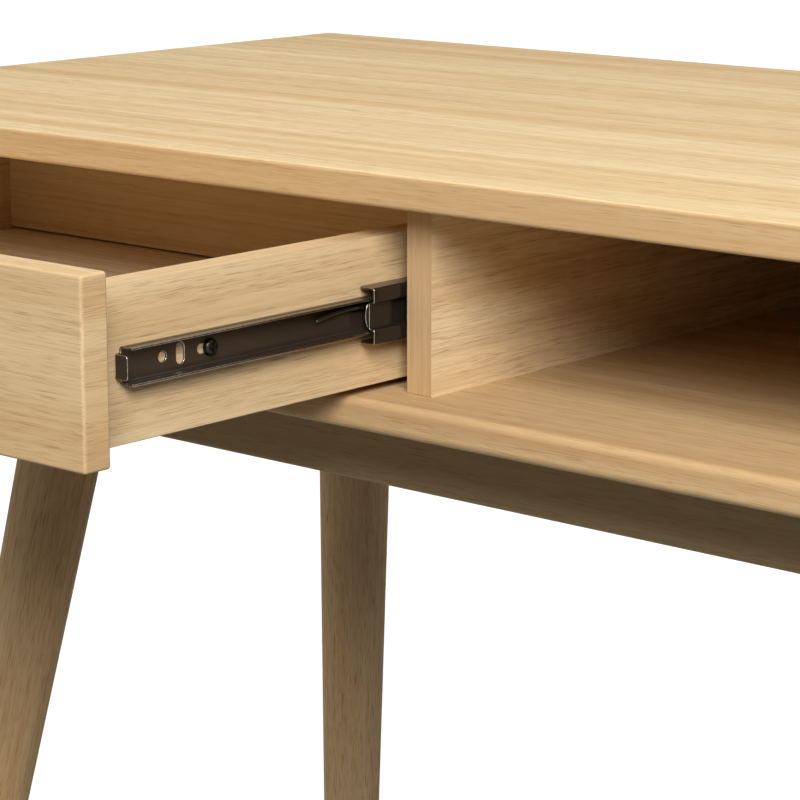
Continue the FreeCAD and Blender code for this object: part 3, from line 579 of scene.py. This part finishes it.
# %% Drawer rails
_, drawer_reach, drawer_half, drawer_length = section("right_drawer_member")
TAB_HALF = 5.5 * MM
NOTCH = 2.6 * MM
GROOVE_START = 2.9 * MM
GROOVE_STEP = 1.1 * MM
GROOVE_DEPTH = 0.45 * MM
TAB_ROUND = 1.6 * MM
DRAWER_BEND = 1.1 * MM
HOLE = 4.8 * MM
SLOT = 9.7 * MM
# Each opening in the web: millimetres from the front, its width and its height
DRAWER_HOLES = [(27.5, HOLE, HOLE), (38.4, HOLE, SLOT), (53.9, SLOT, HOLE),
                (188.4, HOLE, HOLE), (241.2, SLOT, HOLE), (261.6, HOLE, SLOT), (272.5, HOLE, HOLE)]
drawer_folds = [(GROOVE_START, 0), (GROOVE_STEP, -GROOVE_DEPTH), (GROOVE_STEP, GROOVE_DEPTH),
                (drawer_reach - SHEET / 2 - GROOVE_START - 2 * GROOVE_STEP, 0)]
drawer_rail = strip("right_drawer_rail", SHEET / 2, drawer_half - SHEET / 2, drawer_length, drawer_folds)
for spot, way in (((0, NOTCH, 0), "Y"), ((0, 0, TAB_HALF), "Z"), ((0, 0, -TAB_HALF), "Z")):
    bpy.ops.mesh.select_all(action="SELECT")
    bpy.ops.mesh.bisect(plane_co=spot, plane_no=AXES[way])
pick(drawer_rail, "FACE", lambda spot: spot.y < NOTCH and abs(spot.z) > TAB_HALF)
bpy.ops.mesh.delete(type="FACE")
pick(drawer_rail, "EDGE", lambda spot: near(spot.y, 0))
fold((drawer_reach - SHEET / 2, 0, 0))
round_corners(drawer_rail, lambda spot: near(spot.y, 0) and near(spot.x, drawer_reach), TAB_ROUND)
round_bends(drawer_rail, DRAWER_BEND)
thickened(drawer_rail)
for along, wide, tall in DRAWER_HOLES:
    drilled(drawer_rail, SHEET / 2, along * MM, wide, tall)
eased(drawer_rail, RAIL_EDGE, rail_black, bare_edge)
seated(drawer_rail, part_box("right_drawer_member")[0].y, ["drawer", "drawer"], "black_rail_steel",
       "right_drawer_member", "left_drawer_member")

# %% [markdown]
# ## The middle and case rails
#
# The middle rail's web is set back in a step, so that its section is a hat with its brim folded over. The
# corners of the brim are rounded at the front, where they guide the drawer's rail in. The case rail is a
# plain channel, screwed to the case.

# %% Middle rails
middle_start, middle_reach, middle_half, middle_length = section("right_middle_member")
MIDDLE_WEB = 7.0 * MM
MIDDLE_STEP = 6.5 * MM
BRIM_ROUND = 2.2 * MM
MIDDLE_BEND = 0.9 * MM
MIDDLE_SLOTS_MM = (40, 150, 258)
middle_folds = [(middle_reach - SHEET / 2 - MIDDLE_WEB, 0), (0, middle_half - SHEET / 2 - MIDDLE_STEP),
                (middle_start - middle_reach + SHEET / 2, 0)]
middle_rail = strip("right_middle_rail", MIDDLE_WEB, MIDDLE_STEP, middle_length, middle_folds)
round_corners(middle_rail, lambda spot: near(spot.x, middle_start), BRIM_ROUND)
round_bends(middle_rail, MIDDLE_BEND)
thickened(middle_rail)
for along in MIDDLE_SLOTS_MM:
    drilled(middle_rail, MIDDLE_WEB, along * MM, SLOT, HOLE)
# The middle rail takes the coat painted darker for its shade
eased(middle_rail, RAIL_EDGE, rail_black_painted_shade, bare_edge)
seated(middle_rail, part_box("right_middle_member")[0].y, ["middle_members", "middle_members"],
       "black_rail_steel", "right_middle_member", "left_middle_member")

# %% Case rails
CASE_ROUND = 2 * MM
CASE_BEND = 1.2 * MM
CASE_SLOTS_MM = (30, 100, 150, 215, 270)
case_start, case_reach, case_half, case_length = section("right_cabinet_member")
case_rail = strip("right_case_rail", case_reach - SHEET / 2, case_half - SHEET / 2, case_length,
                  [(case_start - case_reach + SHEET / 2, 0)])
round_corners(case_rail, lambda spot: near(spot.x, case_start), CASE_ROUND)
round_bends(case_rail, CASE_BEND)
thickened(case_rail)
for along in CASE_SLOTS_MM:
    drilled(case_rail, case_reach - SHEET / 2, along * MM, HOLE, SLOT)
# The case rail takes the coat painted darker for its shade
eased(case_rail, RAIL_EDGE, rail_black_painted_shade, bare_edge)
seated(case_rail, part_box("right_cabinet_member")[0].y, ["desk", "desk"], "black_rail_steel",
       "right_cabinet_member", "left_cabinet_member")

# %% [markdown]
# ## Release levers and the stops in the rails' mouths
#
# A moulded lever turns on a rivet in the drawer's rail, and its tail lies in a shallow arch towards the
# front. The end of a short round bar is extruded in small steps along the arch, thinner towards the tip
# and rounded over there, and the tail is joined to a round hub. In the mouth of the middle rail a thin
# stop shows, with a curved, burnished front edge: a flat sheet whose front points are moved to a bow.

# %% Levers
low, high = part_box("right_release_lever")
LEVER_INSIDE = low.x - RIGHT_WALL
LEVER_WIDTH = high.x - low.x
HUB_RADIUS = 4.5 * MM
EYE = 3.4 * MM
rail_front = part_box("right_drawer_member")[0].y
lever_pivot = high.y - HUB_RADIUS - rail_front
# Each step over the tip: its length in millimetres, and the share of the thickness that is left
TIP_ROUND = ((0.45, 0.8), (0.3, 0.6))
lever_tail = high.y - HUB_RADIUS - low.y - sum(step for step, _ in TIP_ROUND) * MM
TAIL_HEIGHT = 3.3 * MM
TAIL_ROOT = 2.1 * MM
TAIL_ARCH = (9.0 * MM, -9.5 * MM)
TAIL_STEPS = 14
TIP_SHARE = 0.62
LEVER_EDGE = 0.15 * MM


def tail_spot(share):
    """A point on the tail's middle line, at a share of the way from the hub to the tip."""
    rise = TAIL_ROOT + TAIL_ARCH[0] * share + TAIL_ARCH[1] * share ** 2
    return Vector((LEVER_INSIDE + LEVER_WIDTH / 2, lever_pivot - lever_tail * share, rise))


bpy.ops.object.select_all(action="DESELECT")
bpy.ops.mesh.primitive_cylinder_add(vertices=20, radius=0.5, depth=1, rotation=(math.radians(90), 0, 0),
                                    location=tail_spot(0) + AXES["Y"] * SHEET / 2)
bpy.context.object.scale = (LEVER_WIDTH, TAIL_HEIGHT, SHEET)
lever = added("right_lever")
bpy.ops.object.mode_set(mode="EDIT")
pick(lever, "FACE", lambda spot: near(spot.y, lever_pivot))
thinning = TIP_SHARE ** (1 / TAIL_STEPS)
for step in range(TAIL_STEPS):
    here = tail_spot(step / TAIL_STEPS)
    there = tail_spot((step + 1) / TAIL_STEPS)
    bpy.ops.mesh.extrude_region_move(TRANSFORM_OT_translate={"value": there - here})
    bpy.ops.transform.resize(value=(thinning, 1, thinning), center_override=there)
for step, share in TIP_ROUND:
    there = there - AXES["Y"] * step * MM
    bpy.ops.mesh.extrude_region_move(TRANSFORM_OT_translate={"value": (0, -step * MM, 0)})
    bpy.ops.transform.resize(value=(share, 1, share), center_override=there)
bpy.ops.object.mode_set(mode="OBJECT")
bpy.ops.object.select_all(action="DESELECT")
bpy.ops.mesh.primitive_cylinder_add(vertices=48, radius=HUB_RADIUS, depth=LEVER_WIDTH,
                                    location=(LEVER_INSIDE + LEVER_WIDTH / 2, lever_pivot, 0),
                                    rotation=FACING_X)
hub = added("hub")
modified(lever, "BOOLEAN", operation="UNION", object=hub, solver="EXACT")
bpy.data.objects.remove(hub)
drilled(lever, LEVER_INSIDE + LEVER_WIDTH / 2, lever_pivot, EYE, EYE)
eased(lever, LEVER_EDGE, lever_black)
seated(lever, rail_front, ["right_lever", "left_lever"], "lever_plastic", "right_release_lever",
       "left_release_lever")

# %% Stops
STOP_HALF = 5.7 * MM
STOP_THICK = 0.8 * MM
STOP_DEPTH = 7 * MM
STOP_BULGE = 1.5 * MM
STOP_CUTS = 11
STOP_EDGE = 0.3 * MM
stop_place = MIDDLE_WEB - SHEET / 2 - STOP_THICK / 2
bpy.ops.object.select_all(action="DESELECT")
bpy.ops.mesh.primitive_plane_add(size=1, location=(stop_place, STOP_DEPTH / 2, 0), rotation=FACING_X)
bpy.context.object.scale = (2 * STOP_HALF, STOP_DEPTH, 1)
stop = added("right_mouth_stop")
bpy.ops.object.mode_set(mode="EDIT")
bpy.ops.mesh.select_all(action="SELECT")
bpy.ops.mesh.subdivide(number_cuts=STOP_CUTS)
for number in range(STOP_CUTS + 2):
    height = STOP_HALF * (2 * number / (STOP_CUTS + 1) - 1)
    pick(stop, "VERT", lambda spot: near(spot.y, 0) and near(spot.z, height))
    bpy.ops.transform.translate(value=(0, -STOP_BULGE * (1 - (height / STOP_HALF) ** 2), 0))
bpy.ops.object.mode_set(mode="OBJECT")
modified(stop, "SOLIDIFY", thickness=STOP_THICK, offset=0)
eased(stop, STOP_EDGE, lever_black, bare_edge)
seated(stop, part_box("right_middle_member")[0].y, ["middle_members", "middle_members"], "lever_plastic")

# %% [markdown]
# ## Screws
#
# Pan-head screws hold the rails and the leg plates. One screw is modelled: a disc whose rim is rounded
# over to a dome, a shank drawn out of its underside, and a cross cut into its top by two thin blocks.
# Copies of it stand where the model has its plain screws.

# %% Screws
HEAD = 8 * MM
HEAD_HEIGHT = 2.6 * MM
SHANK = 3.6 * MM
SHANK_LENGTH = 9 * MM
CROSS = (5 * MM, 1.1 * MM, 2.4 * MM)
DOME_SHARE = 0.7
SCREW_EDGE = 0.1 * MM
bpy.ops.object.select_all(action="DESELECT")
bpy.ops.mesh.primitive_cylinder_add(vertices=48, radius=HEAD / 2, depth=HEAD_HEIGHT,
                                    location=(0, 0, HEAD_HEIGHT / 2))
screw = added("pan_screw")
bpy.ops.object.mode_set(mode="EDIT")
pick(screw, "FACE", lambda spot: near(spot.z, 0))
bpy.ops.mesh.inset(thickness=(HEAD - SHANK) / 2)
bpy.ops.mesh.extrude_region_move(TRANSFORM_OT_translate={"value": (0, 0, -SHANK_LENGTH)})
pick(screw, "EDGE", lambda spot: near(spot.z, HEAD_HEIGHT))
bpy.ops.mesh.bevel(offset=DOME_SHARE * HEAD_HEIGHT, segments=6, affect="EDGES")
bpy.ops.object.mode_set(mode="OBJECT")
for turn in (0, 90):
    bpy.ops.object.select_all(action="DESELECT")
    bpy.ops.mesh.primitive_cube_add(size=1, location=(0, 0, HEAD_HEIGHT),
                                    rotation=(0, 0, math.radians(turn)))
    bpy.context.object.scale = CROSS
    cut_away(screw, added("cross"))
eased(screw, SCREW_EDGE)
print("one screw", len(screw.data.polygons), "faces")

# %% Screws in their places
drawer_middle = (LEFT_WALL + RIGHT_WALL) / 2


def outwards(spot):
    """Away from the drawer's middle."""
    return AXES["X"] if spot.x > drawer_middle else -AXES["X"]


def inwards(spot):
    return -outwards(spot)


def downwards(spot):
    return -AXES["Z"]


def screwed(name, node, way, body, material):
    """Copies of the screw in place of a node's plain ones, with heads turned the way for each spot."""
    copies = []
    for low, high in solids(node):
        middle = (low + high) / 2
        direction = way(middle)
        reach = (high - low) / 2
        top = middle + Vector(direction[axis] * reach[axis] for axis in range(3))
        only(screw)
        bpy.ops.object.duplicate()
        copy = bpy.context.object
        copy.rotation_euler = AXES["Z"].rotation_difference(direction).to_euler()
        copy.location = top - direction * HEAD_HEIGHT
        only(copy)
        bpy.ops.object.transform_apply(location=True, rotation=True, scale=True)
        copies.append(copy)
    piece = joined(name, copies)
    piece.data.materials.append(material)
    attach(piece, body)
    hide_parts(node)
    print(name, len(copies))


screwed("drawer_rail_screws", "drawer_slide_screws", outwards, "drawer", screw_black)
screwed("case_rail_screws", "cabinet_slide_screws", inwards, "desk", screw_black)
screwed("leg_plate_screws", "plate_screws", downwards, "desk", zinc)
bpy.data.objects.remove(screw)

# %% [markdown]
# ## Studio
#
# One softbox stands in front, to the right and above, a larger one hangs over the desk, and two weak ones
# keep its far sides readable. The shade under it is filled by light that the floor throws back. The floor
# and the surroundings look white to the camera and in reflections, but light the object no more than a
# pale room does. Near the desk the floor glows less, so that it keeps the desk's shadow.

# %% Studio: sizes
SOFTBOXES = {
    "key": {"way": (0.56, -0.59, 0.52), "size": 1.1, "power": 75},
    "ceiling": {"way": (0, 0.2, 1), "size": 1.7, "power": 24},
    "left_fill": {"way": (-0.7, -0.45, 0.45), "size": 1.7, "power": 16},
    "back_fill": {"way": (0.1, 1, 0.15), "size": 1.7, "power": 5},
}
SOFTBOX_DISTANCE = 2.4
FILL_STRENGTH = 0.06
FLOOR_SIZE = 30
FLOOR_GREY = "#7C7C7C"
FLOOR_GLOW = (0.8, 1.0)
FLOOR_FADE = (0.5, 1.8)
AIM = Vector((0, -0.1, 0.7))
print("softboxes", len(SOFTBOXES))

# %% Studio: surroundings and floor


def seen_directly(tree):
    """1 where the camera, a reflection or glass looks, and 0 for light that only fills shade."""
    path = add(tree, "ShaderNodeLightPath")
    either = add(tree, "ShaderNodeMath", {"operation": "MAXIMUM"},
                 {0: path.outputs["Is Camera Ray"], 1: path.outputs["Is Glossy Ray"]})
    any_of = add(tree, "ShaderNodeMath", {"operation": "MAXIMUM"},
                 {0: either.outputs[0], 1: path.outputs["Is Transmission Ray"]})
    return any_of.outputs[0]


world = bpy.data.worlds.new("white_surroundings")
world.use_nodes = True
bpy.context.scene.world = world
surroundings = world.node_tree
surroundings.nodes["Background"].inputs["Color"].default_value = (1, 1, 1, 1)
level = add(surroundings, "ShaderNodeMapRange", {"To Min": FILL_STRENGTH, "To Max": 1.0},
            {"Value": seen_directly(surroundings)})
surroundings.links.new(level.outputs[0], surroundings.nodes["Background"].inputs["Strength"])

bpy.ops.object.select_all(action="DESELECT")
bpy.ops.mesh.primitive_plane_add(size=FLOOR_SIZE)
floor = added("studio_floor")
paper, tree, shader = blank_material("white_paper", Roughness=0.9)
shader.inputs["Base Color"].default_value = linear(FLOOR_GREY)
shader.inputs["Emission Color"].default_value = (1, 1, 1, 1)
spot = add(tree, "ShaderNodeTexCoord")
away = add(tree, "ShaderNodeVectorMath", {"operation": "LENGTH"}, {0: spot.outputs["Object"]})
fading = {"From Min": FLOOR_FADE[0], "From Max": FLOOR_FADE[1],
          "To Min": FLOOR_GLOW[0], "To Max": FLOOR_GLOW[1]}
fade = add(tree, "ShaderNodeMapRange", fading, {"Value": away.outputs["Value"]})
glow = add(tree, "ShaderNodeMath", {"operation": "MULTIPLY"},
           {0: seen_directly(tree), 1: fade.outputs[0]})
tree.links.new(glow.outputs[0], shader.inputs["Emission Strength"])
floor.data.materials.append(paper)
print("floor", FLOOR_SIZE, "m wide")

# %% Studio: softboxes
for name, box in SOFTBOXES.items():
    way = Vector(box["way"]).normalized()
    bpy.ops.object.light_add(type="AREA", location=AIM + way * SOFTBOX_DISTANCE)
    softbox = bpy.context.object
    softbox.name = name
    softbox.rotation_euler = way.to_track_quat("Z", "Y").to_euler()
    softbox.data.size = box["size"]
    softbox.data.energy = box["power"]
    softbox.visible_camera = False
    print(name, box["power"], "W")

# %% Camera
CAMERA_SPOT = Vector((0.8493, -1.1250, 0.9316))
CAMERA_YAW = 40.951
CAMERA_DIP = 12.593
FOCAL_PIXELS = 2828.3
IMAGE_PIXELS = 800
bpy.ops.object.camera_add(location=CAMERA_SPOT,
                          rotation=(math.radians(90 - CAMERA_DIP), 0, math.radians(CAMERA_YAW)))
camera = bpy.context.object
camera.data.lens = FOCAL_PIXELS / IMAGE_PIXELS * camera.data.sensor_width
bpy.context.scene.camera = camera
bpy.context.scene.view_settings.view_transform = "Standard"
print("camera lens", round(camera.data.lens, 1), "mm")
